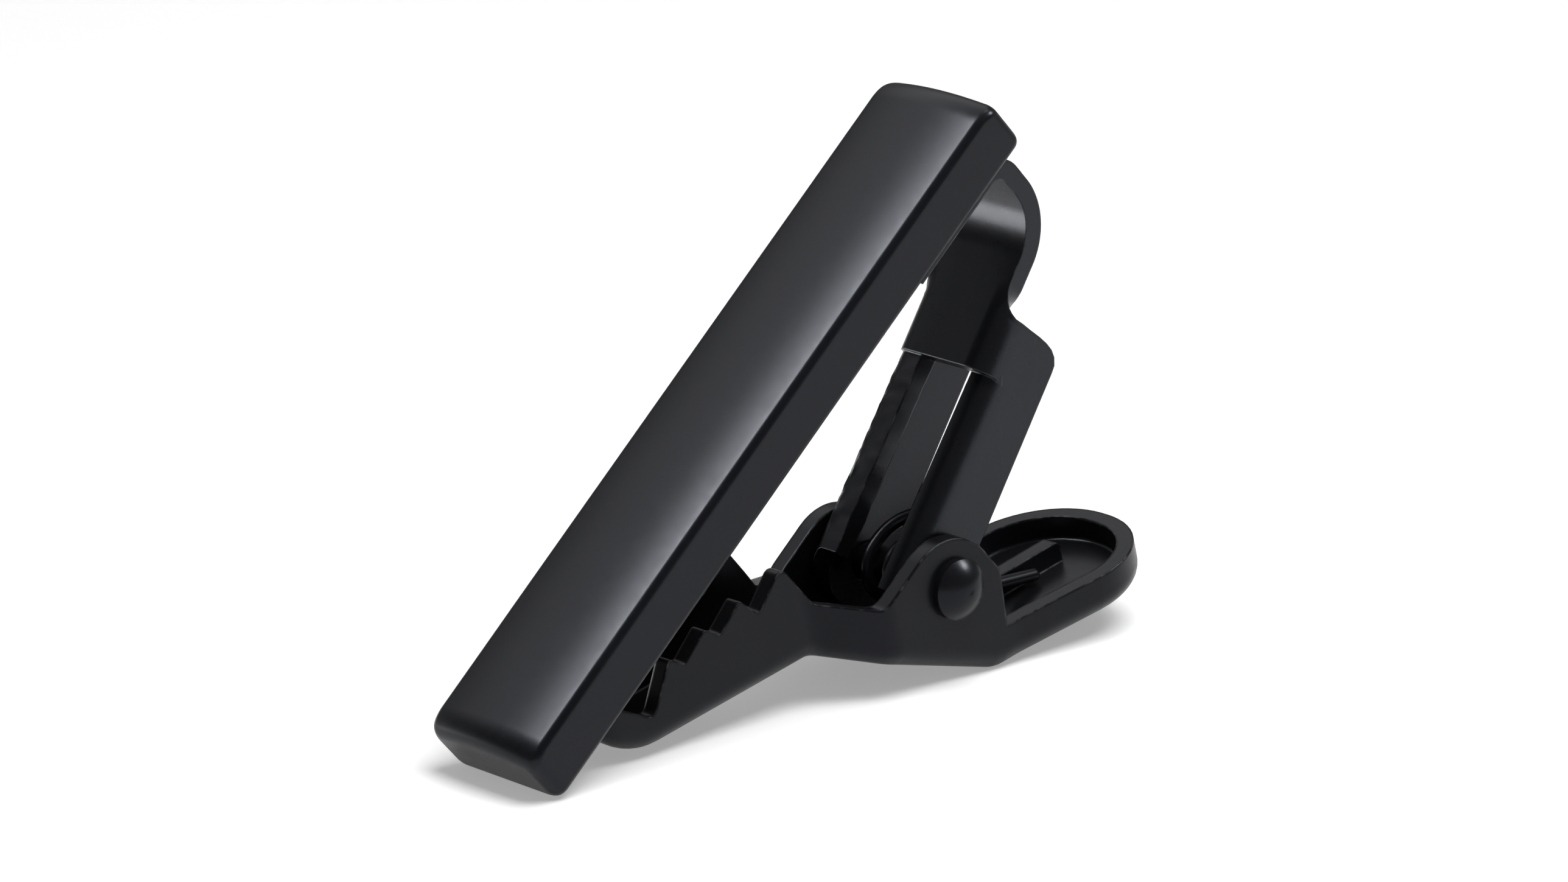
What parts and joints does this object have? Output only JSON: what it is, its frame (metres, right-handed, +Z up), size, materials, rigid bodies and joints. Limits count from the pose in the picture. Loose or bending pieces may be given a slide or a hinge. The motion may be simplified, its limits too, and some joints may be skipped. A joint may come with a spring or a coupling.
{
  "type": "tie clip",
  "caption": "Slim bar tie clip: a domed satin black bar with a stamped bracket on its back that carries a sprung, toothed alligator jaw with a dished thumb lever.",
  "frame": {"origin": "middle of the base of the box around the clip, as it stands on the bar's lower back edge and the jaw's kink", "axes": "+X from the bar's lower end towards the lever's end, +Z up, +Y across the bar along the pivot"},
  "size_m": [0.0318, 0.0084, 0.0221],
  "materials": {
    "satin_black": "smooth satin black coating over metal",
    "coated_black": "semi-gloss black coating over stamped steel",
    "rivet_black": "semi-gloss black coated rivet",
    "spring_wire": "black coated spring wire"
  },
  "bodies": {
    "bar": {"front_bar": "satin_black", "hinge_bracket": "coated_black", "torsion_spring": "spring_wire"},
    "jaw": {"toothed_jaw": "coated_black", "pivot_rivet": "rivet_black"}
  },
  "joints": [
    {"name": "jaw_hinge", "type": "hinge", "parent": "bar", "child": "jaw", "pos_m": [0.0048, 0, 0.00379], "axis": [0, -1, 0], "range_deg": [0, 30], "stiffness_Nm_per_rad": 0.03, "springref_deg": -28.65, "deforming": ["torsion_spring"]}
  ]
}
